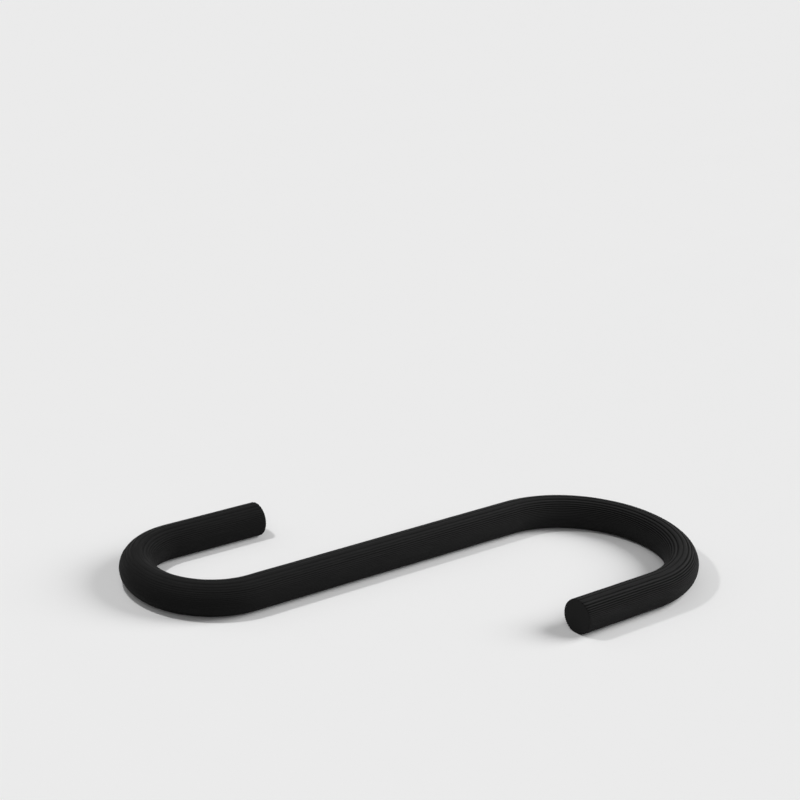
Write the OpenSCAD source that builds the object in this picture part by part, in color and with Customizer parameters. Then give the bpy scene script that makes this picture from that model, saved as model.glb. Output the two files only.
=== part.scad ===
// S hook, printed in one piece as it lies on its side.
// A round bar makes a long straight shank, a small hook at one end and a large hook at the other.
// Each hook is half a circle and a straight arm that runs back beside the shank.
// The two hooks open to opposite sides, and both ends of the bar are cut off square.
// Fine grooves follow the bar where one printed layer meets the next.
// Lengths are in millimetres. X runs along the shank, Z stands up from the side that it lies on.
// The origin is in the middle of the hook's outer box, on the side that it lies on.

/* [Bar] */
// Diameter of the round bar
bar_d = 6.3; // [4:0.1:12]
// Width of the flat that the first layer leaves on the underside
base_flat_w = 1.6; // [0.6:0.1:2]

/* [Layers] */
// Height of one printed layer
layer_h = 0.3; // [0.25:0.05:0.6]
// Width of the groove between two layers, at its mouth
groove_w = 0.18; // [0.08:0.01:0.2]
// Depth of the groove between two layers
groove_depth = 0.07; // [0.02:0.01:0.1]
// Depth of the line between the two strands that lie side by side along the top
top_line_depth = 0.03; // [0.01:0.01:0.08]

/* [Shank] */
// Straight length of the shank, from bend to bend
shank_l = 61; // [25:0.5:200]

/* [Small hook] */
// Clear width between the small hook's arm and the shank
small_gap_w = 18.9; // [8:0.1:60]
// Straight length of the small hook's arm, from its bend to its cut end
small_arm_l = 19.4; // [4:0.1:60]

/* [Large hook] */
// Clear width between the large hook's arm and the shank
large_gap_w = 31.5; // [8:0.1:90]
// Straight length of the large hook's arm, from its bend to its cut end
large_arm_l = 19; // [4:0.1:60]

/* [Hidden] */

bar_r = bar_d / 2;

// Height of the bar's centre line, which the flat brings a little closer to the ground
axis_z = sqrt(pow(bar_r, 2) - pow(base_flat_w / 2, 2));

// Radius of the bar's centre line in each bend
small_bend_r = small_gap_w / 2 + bar_r;
large_bend_r = large_gap_w / 2 + bar_r;

// Place of the shank's middle, which puts the origin in the middle of the outer box
shank_x = (small_bend_r - large_bend_r) / 2;
shank_y = large_bend_r - small_bend_r;

// A whole number of equal layers makes up the bar's diameter
layer_count = round(bar_d / layer_h);
layer_step = bar_d / layer_count;

// Half a turn, from the shank to an arm
half_turn = 180;
// Sides of a full circle round the bar, and round a bend
bar_sides = 96;
bend_sides = 96;
// How far a cutting shape stands out of the surface that it cuts
cut_over = 0.05;

// Angle from the bar's top round to groove k, counted downwards. The first groove lies half a layer
// below the top, and each of the others one layer below the last
function groove_angle(k) = acos(1 - (k + 0.5) * layer_step / bar_r);

// Shape that cuts one sharp groove into the top of a round bar that is centred on the origin
module groove(width, depth) {
    mouth = width * (depth + cut_over) / depth;
    polygon([
        [0, bar_r - depth],
        [mouth / 2, bar_r + cut_over],
        [-mouth / 2, bar_r + cut_over]
    ]);
}

// Section of the bar, standing on Y = 0 and centred on X = 0
module bar_section() {
    translate([0, axis_z])
        difference() {
            circle(r = bar_r, $fn = bar_sides);
            // The flat on the underside
            translate([-bar_r, -axis_z - bar_r])
                square([bar_d, bar_r]);
            // The grooves between layers, on both sides
            for (k = [0:layer_count - 1])
                for (side = [-1, 1])
                    rotate(side * groove_angle(k))
                        groove(groove_w, groove_depth);
            // The line along the middle of the top
            groove(groove_w, top_line_depth);
        }
}

// Straight run of the bar, from the origin along +X
module straight_run(length) {
    rotate([90, 0, 90])
        linear_extrude(height = length)
            bar_section();
}

// Half a turn of the bar round the Z axis, on the +Y side
module half_bend(bend_r) {
    rotate_extrude(angle = half_turn, $fn = bend_sides)
        translate([bend_r, 0])
            bar_section();
}

// A bend with its arm, from the shank's end at the origin: it leaves along +X and turns to +Y
module hook_end(bend_r, arm_l) {
    translate([0, bend_r, 0])
        rotate([0, 0, -half_turn / 2])
            half_bend(bend_r);
    translate([-arm_l, 2 * bend_r, 0])
        straight_run(arm_l);
}

module s_hook() {
    color("#1c1c1e")
        translate([shank_x, shank_y, 0])
            union() {
                translate([-shank_l / 2, 0, 0])
                    straight_run(shank_l);
                // The large hook opens towards -Y, at the shank's +X end
                translate([shank_l / 2, 0, 0])
                    mirror([0, 1, 0])
                        hook_end(large_bend_r, large_arm_l);
                // The small hook opens towards +Y, at the shank's -X end
                translate([-shank_l / 2, 0, 0])
                    mirror([1, 0, 0])
                        hook_end(small_bend_r, small_arm_l);
            }
}

s_hook();
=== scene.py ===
import math
import random

import bpy
from mathutils import Matrix, Vector


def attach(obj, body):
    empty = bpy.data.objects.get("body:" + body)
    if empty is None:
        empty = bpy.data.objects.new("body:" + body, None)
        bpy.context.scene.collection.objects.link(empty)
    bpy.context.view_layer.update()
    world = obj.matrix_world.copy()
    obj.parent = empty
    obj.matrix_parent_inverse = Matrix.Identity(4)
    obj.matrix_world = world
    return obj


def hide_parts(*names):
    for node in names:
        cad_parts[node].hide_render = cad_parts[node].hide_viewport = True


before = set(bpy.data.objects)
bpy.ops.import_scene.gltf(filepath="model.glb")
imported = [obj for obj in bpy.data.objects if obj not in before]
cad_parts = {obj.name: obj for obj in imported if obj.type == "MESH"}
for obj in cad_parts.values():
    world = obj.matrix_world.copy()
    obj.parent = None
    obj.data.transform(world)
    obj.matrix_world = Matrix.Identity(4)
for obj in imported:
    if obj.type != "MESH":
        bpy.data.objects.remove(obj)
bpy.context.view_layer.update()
print("Scene: frame loaded")

mm = 0.001
scene = bpy.context.scene


def towards(azimuth, elevation):
    # Direction from the hook to the camera or a far lamp, by its two angles in degrees
    a, e = math.radians(azimuth), math.radians(elevation)
    return Vector((math.sin(a) * math.cos(e), -math.cos(a) * math.cos(e), math.sin(e)))


# The camera stands where the photo was taken from. Lengths are in millimetres, angles in degrees.
shot = {
    "azimuth": -40.932,
    "elevation": 20.182,
    "roll": 3.655,
    "distance": 441.16,
    "target": (56.12, 73.705, -0.103),
    "focalLength": 87.898,
    "sensorWidth": 36.0,
    "nearClip": 10.0,
}


def makeCamera():
    back, roll = towards(shot["azimuth"], shot["elevation"]), math.radians(shot["roll"])
    level = (-back).cross(Vector((0, 0, 1))).normalized()
    upright = level.cross(-back)
    right = level * math.cos(roll) + upright * math.sin(roll)
    up = upright * math.cos(roll) - level * math.sin(roll)
    lens = bpy.data.cameras.new("shotCamera")
    lens.sensor_width = shot["sensorWidth"]
    lens.lens = shot["focalLength"]
    lens.clip_start = shot["nearClip"] * mm
    camera = bpy.data.objects.new("shotCamera", lens)
    turn = Matrix((right, up, back)).transposed()
    place = (Vector(shot["target"]) + back * shot["distance"]) * mm
    camera.matrix_world = Matrix.Translation(place) @ turn.to_4x4()
    scene.collection.objects.link(camera)
    scene.camera = camera


makeCamera()
print("Scene: camera placed")


# The hook is a round bar with fine grooves between its layers, lying on its side.
# Lengths are in millimetres. Angles are in degrees, a groove's counted from the bar's top.
hook = {
    "shankLength": 61.0,
    "smallBendRadius": 12.6,       # of the bar's centre line
    "smallArmLength": 19.4,
    "largeBendRadius": 18.9,
    "largeArmLength": 19.08,
    "barDiameter": 6.3,
    "baseFlatWidth": 1.6,          # on the underside, where the first layer lay
    "layerHeight": 0.3,
    "grooveDepth": 0.13,           # where a groove is wide; a narrower one is less deep
    "grooveReach": 0.32,           # from the middle of a groove to where its rib levels out
    "grooveShape": (               # shares of reach, depth and painted shade, from its middle outwards
        (0.0, 1.0, 1.0), (0.25, 0.55, 0.9), (0.6, 0.14, 0.1),
    ),
    "grooveStrength": (            # distance along the bar, and how strong the grooves' relief and painted shade are there
        (0.0, 0.5), (14.0, 0.45), (24.0, 0.6), (31.0, 0.5), (37.0, 0.1), (44.0, 0.2),
        (52.0, 0.35), (90.0, 0.6), (120.0, 0.9), (140.0, 1.3), (200.0, 1.15),
    ),
    "topLineDepth": 0.07,          # between the two strands that lie along the top
    "topLineShade": (              # distance along the bar, and how dark the painted shade in the line's middle is there
        (0.0, 0.1), (24.0, 0.1), (31.0, 0.8), (37.0, 0.1), (120.0, 0.1), (135.0, 0.63),
        (150.0, 0.85), (165.0, 0.63), (180.0, 0.1),
    ),
    "crown": 0.035,                # how far a rib stands out of the round bar
    "crestShade": -0.35,           # painted highlight on the crests: a shade below 0 is lighter than the plain black
    "shadeFull": 50.0,             # grooves get their full painted shade up to this angle
    "shadeFaint": 75.0,            # and faintly from this one on
    "faintShade": 0.35,
    "ribWander": 0.012,            # how far a layer's edge strays in and out
    "wanderStep": 3.5,             # along the bar, from one random value to the next
    "ribShift": 0.008,             # how far a whole layer lies off its place
    "seed": 11,
    "ringStep": 0.75,              # between rings of the mesh along the bar
    "baseFaces": 4,                # across the flat underside
    "endRings": (0.0, 0.02, 0.06),  # the mesh's first rings, from each cut end
    "endRounding": 0.06,           # of the edge round both cut ends
    "endInset": 0.12,              # from that edge to the flat of the cut end
    "endLayer": 99,                # stands for a layer in the streaks of the cut ends
    "sharpAngle": 58.0,            # between two faces, above which their edge stays sharp
}


def smoothNoise(rng, length, step):
    # A smooth random line with values between -1 and 1, as a function of the distance along it
    values = [rng.uniform(-1, 1) for _ in range(int(length / step) + 3)]

    def at(s):
        i = int(s / step)
        t = (1 - math.cos(math.pi * (s / step - i))) / 2
        return values[i] * (1 - t) + values[i + 1] * t

    return at


def stepAlong(s, radius, side, place, heading):
    # Place and heading at a distance along a straight run or a bend
    if radius is None:
        return place + s * Vector((math.cos(heading), math.sin(heading))), heading
    left = Vector((-math.sin(heading), math.cos(heading)))
    centre = place + side * radius * left
    turned = heading + side * s / radius
    outward = -side * Vector((-math.sin(turned), math.cos(turned)))
    return centre + radius * outward, turned


def barLine():
    # The bar's centre line, from the small hook's cut end to the large hook's: its length, and
    # a function that gives the place and the left-hand normal at a distance along it
    small, large = hook["smallBendRadius"], hook["largeBendRadius"]
    shankX, shankY = (small - large) / 2, large - small
    startX = shankX - hook["shankLength"] / 2 + hook["smallArmLength"]
    runs = [                       # length, radius (None is straight), and side (1 is left)
        (hook["smallArmLength"], None, 0),
        (math.pi * small, small, 1),
        (hook["shankLength"], None, 0),
        (math.pi * large, large, -1),
        (hook["largeArmLength"], None, 0),
    ]
    starts = []
    place, heading, gone = Vector((startX, shankY + 2 * small)), math.pi, 0.0
    for length, radius, side in runs:
        starts.append((gone, radius, side, place, heading))
        place, heading = stepAlong(length, radius, side, place, heading)
        gone += length

    def at(s):
        start, *run = next(row for row in reversed(starts) if s >= row[0])
        point, turned = stepAlong(s - start, *run)
        return point, Vector((-math.sin(turned), math.cos(turned)))

    return gone, at


def flatTurn():
    # Angle from the bar's top to the edge of the flat underside
    return math.pi - math.asin(hook["baseFlatWidth"] / hook["barDiameter"])


def grooveTurns():
    # Angles of the grooves on one side. The first lies half a layer below the top, and each of
    # the others a layer below the last
    count = round(hook["barDiameter"] / hook["layerHeight"])
    return [math.acos(1 - (k + 0.5) * 2 / count) for k in range(count)]


def grooveShade(turn):
    # How strong a groove's painted shade, and a crest's painted highlight, are at an angle from the
    # bar's top
    share = (math.degrees(turn) - hook["shadeFull"]) / (hook["shadeFaint"] - hook["shadeFull"])
    return 1 - (1 - hook["faintShade"]) * min(max(share, 0.0), 1.0)


def valueAt(steps, s):
    # A value that changes evenly between the given distances along the bar
    for (start, low), (end, high) in zip(steps, steps[1:]):
        if s <= end:
            return low + (high - low) * (s - start) / (end - start)
    return steps[-1][1]


def grooveSlope(line, reach, narrow, k):
    # The points of layer k's rib beside a groove, from the groove's middle outwards
    turn, depth, shade = line
    return [
        (turn + reach * out, depth * narrow * deep - hook["crown"] * (1 - deep), shade * dark, k)
        for out, deep, dark in hook["grooveShape"]
    ]


def sidePoints():
    # One side of the section, from the top to the flat. Each point: angle from the top, depth
    # below the round surface, painted shade (below 0 a painted highlight), and layer. Each rib
    # is level between its two grooves.
    radius = hook["barDiameter"] / 2
    lines = [(0.0, hook["topLineDepth"], 1.0)]
    lines += [(turn, hook["grooveDepth"], grooveShade(turn)) for turn in grooveTurns()]
    lines.append((flatTurn(), 0.0, 0.0))
    points = []
    for k, (line, nextLine) in enumerate(zip(lines, lines[1:])):
        half = (nextLine[0] - line[0]) / 2
        reach = min(hook["grooveReach"] / radius, half)
        narrow = reach * radius / hook["grooveReach"]
        upper = grooveSlope(line, reach, narrow, k)
        lower = grooveSlope(nextLine, -reach, narrow, k)
        middle = line[0] + half
        # Each crest but the top one gets a painted highlight, fading like the grooves' painted
        # shade
        crest = hook["crestShade"] * grooveShade(middle) if k else 0.0
        points += [*upper, (middle, -hook["crown"], crest, k), *reversed(lower[1:])]
    return points + [(*lines[-1], k)]


def ringPoints():
    # The section as a loop: down the left side from the top, across the flat, up the right side.
    # Each point: as in sidePoints, with left angles positive, and the distance across on the flat
    left = [(*point, None) for point in sidePoints()]
    right = [(-turn, *rest) for turn, *rest in reversed(left[1:])]
    lowest, half, faces = left[-1][3], hook["baseFlatWidth"] / 2, hook["baseFaces"]
    flat = [(math.pi, 0.0, 0.0, lowest, half - 2 * half * i / faces) for i in range(1, faces)]
    return left + flat + right


def ringPlaces(length):
    # Distances along the bar at which the mesh has a ring, close together at the two cut ends
    ends = hook["endRings"]
    inner = length - 2 * ends[-1]
    count = round(inner / hook["ringStep"])
    middle = [ends[-1] + inner * i / count for i in range(1, count)]
    return [*ends, *middle, *(length - t for t in reversed(ends))]


def layerStray(layers, length):
    # How far a layer's edge lies off its place, by layer, side and distance along the bar
    rng = random.Random(hook["seed"])
    edges = [(k, isLeft) for k in range(layers) for isLeft in (True, False)]
    wander = {edge: smoothNoise(rng, length, hook["wanderStep"]) for edge in edges}
    shift = {edge: rng.uniform(-1, 1) * hook["ribShift"] for edge in edges}
    return lambda k, isLeft, s: wander[k, isLeft](s) * hook["ribWander"] + shift[k, isLeft]


def barRows(ring, length, lineAt, axisHeight):
    # The points of all rings. Each row: place in metres, place on the bar's surface, and
    # painted shade (below 0 a painted highlight)
    radius, crown, rounding = hook["barDiameter"] / 2, hook["crown"], hook["endRounding"]
    stray = layerStray(max(k for _, _, _, k, _ in ring) + 1, length)
    edgeTurn = flatTurn()
    rows = []
    for s in ringPlaces(length):
        endShare = max(0.0, 1 - min(s, length - s) / rounding)
        inset = rounding - math.sqrt(rounding ** 2 - (rounding * endShare) ** 2)
        place, normal = lineAt(s)
        strength = valueAt(hook["grooveStrength"], s)
        topShade = valueAt(hook["topLineShade"], s)
        relief = math.sqrt(strength)
        for turn, depth, shade, k, across in ring:
            if across is None:
                onEdge = abs(turn) == edgeTurn
                sunk = depth if onEdge else (depth + crown) * relief - crown
                loose = 0.0 if onEdge or not turn else stray(k, turn > 0, s)
                out = radius - sunk - inset + loose
                wide, high = out * math.sin(turn), axisHeight + out * math.cos(turn)
            else:
                wide, high = across, 0.0
            spot = place + normal * wide
            rows.append((
                (spot.x * mm, spot.y * mm, max(high, 0.0) * mm),
                (s, radius * turn, k if turn >= 0 else -k - 1),
                strength * (shade if turn else topShade),
            ))
    return rows


def endRows(rim, s, centre):
    # The points round the flat of a cut end, a little inside the points of its rim
    keep = 1 - hook["endInset"] / (hook["barDiameter"] / 2)
    rows = []
    for point, _, _ in rim:
        spot = centre + keep * (Vector(point) - centre)
        rows.append((tuple(spot), (s, (spot - centre).length / mm, hook["endLayer"]), 0.0))
    return rows


def buildHook():
    length, lineAt = barLine()
    axisHeight = math.sqrt((hook["barDiameter"] / 2) ** 2 - (hook["baseFlatWidth"] / 2) ** 2)
    ring = ringPoints()
    size = len(ring)
    sides = [(i, (i + 1) % size) for i in range(size)]
    rows = barRows(ring, length, lineAt, axisHeight)
    faces = []
    for a in range(0, len(rows) - size, size):
        b = a + size
        faces += [(a + j, a + i, b + i, b + j) for i, j in sides]
    # The flats of the two cut ends, each inside a narrow ring
    for a, s in ((0, 0.0), (len(rows) - size, length)):
        b = len(rows)
        place, _ = lineAt(s)
        centre = Vector((place.x * mm, place.y * mm, axisHeight * mm))
        rows += endRows(rows[a:a + size], s, centre)
        end = [(a + i, a + j, b + j, b + i) for i, j in sides] + [tuple(range(b, b + size))]
        faces += end if a == 0 else [face[::-1] for face in end]
    points, lay, shades = zip(*rows)
    layValues = [v for place in lay for v in place]
    mesh = bpy.data.meshes.new("sHook")
    mesh.from_pydata(points, [], faces)
    mesh.attributes.new("lay", "FLOAT_VECTOR", "POINT").data.foreach_set("vector", layValues)
    # The painted shade of each point; below 0 it is a painted highlight
    mesh.attributes.new("groove", "FLOAT", "POINT").data.foreach_set("value", shades)
    mesh.shade_smooth()
    mesh.set_sharp_from_angle(angle=math.radians(hook["sharpAngle"]))
    piece = bpy.data.objects.new("sHook", mesh)
    scene.collection.objects.link(piece)
    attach(piece, "root")
    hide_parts("s_hook")
    print("Scene: hook built,", len(points), "points,", len(faces), "faces")
    return piece


# The plastic: matt black, with faint streaks along each laid line. Lengths are in millimetres.
plastic = {
    "dark": (0.009, 0.009, 0.009, 1),
    "light": (0.0145, 0.0145, 0.0145, 1),
    # Colours of the painted shade in the grooves and the painted highlight on the ribs' crests
    "groove": (0.0015, 0.0015, 0.0015, 1),
    "crest": (0.03, 0.03, 0.03, 1),
    "streakPart": 0.5,             # of the streaks in the mix of dark and light
    "patchPart": 0.5,              # of the patches in it
    "toneStretch": (35.0, 130.0),  # along the bar, over which the black gets lighter: painted light, less on the small hook
    "toneShares": (0.54, 1.05),    # how light it is before and after that stretch
    "specular": 0.05,
    "roughness": (0.55, 0.75),
    "shineRange": (0.3, 0.7),      # of the streaks, between the two values of roughness
    "streakLength": 3.0,
    "streakWidth": 0.14,
    "streakShift": 3.7,            # sets the streaks of one layer apart from the next one's
    "streakDetail": 3.0,
    "streakHeight": 0.006,
    "grainSize": 0.09,
    "grainDetail": 2.0,
    "grainHeight": 0.004,
    "patchSize": 7.0,
}


def setInputs(node, inputs):
    # Each input gets a value, or a link where an output of another node is given
    for name, value in inputs.items():
        if isinstance(value, bpy.types.NodeSocket):
            node.id_data.links.new(value, node.inputs[name])
        else:
            node.inputs[name].default_value = value


def addNode(tree, kind, inputs=None, **settings):
    node = tree.nodes.new(kind)
    for name, value in settings.items():
        setattr(node, name, value)
    setInputs(node, inputs or {})
    return node


def addMath(tree, operation, *values, **settings):
    inputs = dict(enumerate(values))
    return addNode(tree, "ShaderNodeMath", inputs, operation=operation, **settings).outputs[0]


def addMix(tree, factor, first, second, **settings):
    inputs = {"Factor": factor, "A": first, "B": second}
    return addNode(tree, "ShaderNodeMix", inputs, data_type="RGBA", **settings).outputs["Result"]


def addRange(tree, value, before, after):
    # A value brought from one range to another
    inputs = {"Value": value}
    inputs["From Min"], inputs["From Max"] = before
    inputs["To Min"], inputs["To Max"] = after
    return addNode(tree, "ShaderNodeMapRange", inputs).outputs["Result"]


def makePlastic():
    material = bpy.data.materials.new("blackPrint")
    material.use_nodes = True
    tree = material.node_tree

    # The place on the bar's surface: along the bar, round it, and which layer
    lay = addNode(tree, "ShaderNodeAttribute", attribute_name="lay").outputs["Vector"]
    streakPlace = addNode(tree, "ShaderNodeMapping", {
        "Vector": lay,
        "Scale": (1 / plastic["streakLength"], 1 / plastic["streakWidth"], plastic["streakShift"]),
    })
    streak = addNode(tree, "ShaderNodeTexNoise", {
        "Vector": streakPlace.outputs["Vector"],
        "Scale": 1.0,
        "Detail": plastic["streakDetail"],
    }).outputs["Fac"]

    # Fine grain and broad patches come from the place on the hook
    place = addNode(tree, "ShaderNodeTexCoord").outputs["Object"]
    grain = addNode(tree, "ShaderNodeTexNoise", {
        "Vector": place,
        "Scale": 1 / (plastic["grainSize"] * mm),
        "Detail": plastic["grainDetail"],
    }).outputs["Fac"]
    patch = addNode(tree, "ShaderNodeTexNoise", {
        "Vector": place,
        "Scale": 1 / (plastic["patchSize"] * mm),
    }).outputs["Fac"]

    # Colour: dark and light black, mixed by patch and streak
    patchTone = addMath(tree, "MULTIPLY", patch, plastic["patchPart"])
    tone = addMath(tree, "MULTIPLY_ADD", streak, plastic["streakPart"], patchTone)
    colour = addMix(tree, tone, plastic["dark"], plastic["light"])

    # Painted light: the black is darker on the small hook than on the large one, as if less light
    # fell there
    along = addNode(tree, "ShaderNodeSeparateXYZ", {"Vector": lay}).outputs["X"]
    paintedLightShare = addRange(tree, along, plastic["toneStretch"], plastic["toneShares"])
    black = addMix(tree, 1.0, colour, paintedLightShare, blend_type="MULTIPLY")

    # Painted shade makes the grooves between the layers darker, and a painted highlight makes the
    # crests of the ribs lighter
    groove = addNode(tree, "ShaderNodeAttribute", attribute_name="groove").outputs["Fac"]
    withPaintedHighlight = addMix(tree, addMath(tree, "MULTIPLY", groove, -1.0), black, plastic["crest"])
    shaded = addMix(tree, groove, withPaintedHighlight, plastic["groove"])

    # Surface: streaks first, then the grain over them
    streakBump = addNode(tree, "ShaderNodeBump", {
        "Height": streak,
        "Distance": plastic["streakHeight"] * mm,
    })
    grainBump = addNode(tree, "ShaderNodeBump", {
        "Height": grain,
        "Distance": plastic["grainHeight"] * mm,
        "Normal": streakBump.outputs["Normal"],
    })

    # Some stretches of a line come out shinier than others
    setInputs(tree.nodes["Principled BSDF"], {
        "Base Color": shaded,
        "Roughness": addRange(tree, streak, plastic["shineRange"], plastic["roughness"]),
        "Specular IOR Level": plastic["specular"],
        "Normal": grainBump.outputs["Normal"],
    })
    return material


sHook = buildHook()
sHook.data.materials.append(makePlastic())
print("Scene: plastic made")


# A pale floor and studio light. A lamp's share is its part of the light on the floor, and all
# shares with the sky's make 1 at the place where they are measured. Lengths are in millimetres.
# Angles are in degrees, counted as the camera's.
studio = {
    "floorColour": (0.83, 0.83, 0.83, 1),
    "floorSize": 6000.0,
    "floorDrop": 0.02,             # below the hook's flat underside
    "floorSteps": 80,              # of its grid, along each side
    "skyShare": 0.04,
    "farLamps": [
        {"name": "leftLight", "azimuth": 220, "elevation": 56, "softness": 80, "share": 0.13},
        {"name": "frontLight", "azimuth": 318, "elevation": 34, "softness": 40, "share": 0.08},
    ],
    "nearLamps": [
        {"name": "rightLight", "place": (287, -172, 230), "radius": 145, "share": 0.59},
        {"name": "keyLight", "place": (-79, 38, 140), "radius": 7, "share": 0.16},
    ],
    "measuredAt": (46.2, -12.6),
}


def nearLight(spec, x, y):
    # What a near lamp gives a place on the floor, for each unit of its strength
    lampX, lampY, height = (v * mm for v in spec["place"])
    dx, dy = lampX - x, lampY - y
    squared = dx * dx + dy * dy + height * height
    return height / math.sqrt(squared) / (squared + (spec["radius"] * mm) ** 2)


def nearLightAtMark(spec):
    return nearLight(spec, *(v * mm for v in studio["measuredAt"]))


def lightAt(x, y):
    # All the light on a place on the floor, in shares
    far = studio["skyShare"] + sum(spec["share"] for spec in studio["farLamps"])
    return far + sum(
        spec["share"] * nearLight(spec, x, y) / nearLightAtMark(spec)
        for spec in studio["nearLamps"]
    )


def seenRays(tree):
    # 1 where the camera looks, straight, in a reflection or through glass, and 0 for light that
    # falls on the object
    path = addNode(tree, "ShaderNodeLightPath").outputs
    mirrored = addMath(tree, "MAXIMUM", path["Is Camera Ray"], path["Is Glossy Ray"])
    return addMath(tree, "MAXIMUM", mirrored, path["Is Transmission Ray"])


def makePaleFloor():
    # The near lamps light the floor unevenly. Where the light is above 1, the floor's colour is
    # divided by it. Where it is below 1, the floor shows the rest as plain colour
    material = bpy.data.materials.new("paleFloor")
    material.use_nodes = True
    tree = material.node_tree
    lit = addNode(tree, "ShaderNodeAttribute", attribute_name="lit").outputs["Fac"]
    share = addMath(tree, "DIVIDE", 1.0, addMath(tree, "MAXIMUM", lit, 1.0))
    shader = tree.nodes["Principled BSDF"]
    setInputs(shader, {
        "Base Color": addMix(tree, 1.0, studio["floorColour"], share, blend_type="MULTIPLY"),
        "Roughness": 1.0,
        "Specular IOR Level": 0.0,
    })
    lack = addMath(tree, "SUBTRACT", 1.0, lit, use_clamp=True)
    glow = addNode(tree, "ShaderNodeEmission", {
        "Color": studio["floorColour"],
        "Strength": addMath(tree, "MULTIPLY", lack, seenRays(tree)),
    })
    both = addNode(tree, "ShaderNodeAddShader", {0: shader.outputs[0], 1: glow.outputs[0]})
    setInputs(tree.nodes["Material Output"], {"Surface": both.outputs[0]})
    return material


def makeFloor():
    # A grid that is finest near the hook, where the light changes most
    half, steps = studio["floorSize"] * mm / 2, studio["floorSteps"]
    line = [half * u * abs(u) for u in (2 * i / steps - 1 for i in range(steps + 1))]
    points = [(x, y, -studio["floorDrop"] * mm) for y in line for x in line]
    row = len(line)
    corners = [r * row + i for r in range(steps) for i in range(steps)]
    faces = [(n, n + 1, n + row + 1, n + row) for n in corners]
    light = [lightAt(x, y) for x, y, _ in points]
    mesh = bpy.data.meshes.new("floor")
    mesh.from_pydata(points, [], faces)
    mesh.attributes.new("lit", "FLOAT", "POINT").data.foreach_set("value", light)
    mesh.materials.append(makePaleFloor())
    floor = bpy.data.objects.new("floor", mesh)
    scene.collection.objects.link(floor)


def makeSky():
    # A faint even light on the object, and the floor's colour wherever the camera looks
    world = bpy.data.worlds.new("studio")
    scene.world = world
    world.use_nodes = True
    tree = world.node_tree
    tree.nodes.clear()
    light = addNode(tree, "ShaderNodeBackground", {
        "Color": (1, 1, 1, 1),
        "Strength": studio["skyShare"],
    })
    seen = addNode(tree, "ShaderNodeBackground", {"Color": studio["floorColour"]})
    mix = addNode(tree, "ShaderNodeMixShader", {
        0: seenRays(tree),
        1: light.outputs[0],
        2: seen.outputs[0],
    })
    addNode(tree, "ShaderNodeOutputWorld", {"Surface": mix.outputs[0]})


def addLamp(spec, kind):
    lamp = bpy.data.objects.new(spec["name"], bpy.data.lights.new(spec["name"], kind))
    scene.collection.objects.link(lamp)
    return lamp, lamp.data


def makeFarLamp(spec):
    lamp, light = addLamp(spec, "SUN")
    light.energy = math.pi * spec["share"] / math.sin(math.radians(spec["elevation"]))
    light.angle = math.radians(spec["softness"])
    lamp.rotation_mode = "QUATERNION"
    lamp.rotation_quaternion = towards(spec["azimuth"], spec["elevation"]).to_track_quat("Z", "Y")


def makeNearLamp(spec):
    lamp, light = addLamp(spec, "POINT")
    light.energy = 4 * math.pi ** 2 * spec["share"] / nearLightAtMark(spec)    # in watts
    light.shadow_soft_size = spec["radius"] * mm
    lamp.location = Vector(spec["place"]) * mm
    lamp.visible_camera = False


makeFloor()
makeSky()
for spec in studio["farLamps"]:
    makeFarLamp(spec)
for spec in studio["nearLamps"]:
    makeNearLamp(spec)
scene.view_settings.view_transform = "Standard"
print("Scene: studio set")
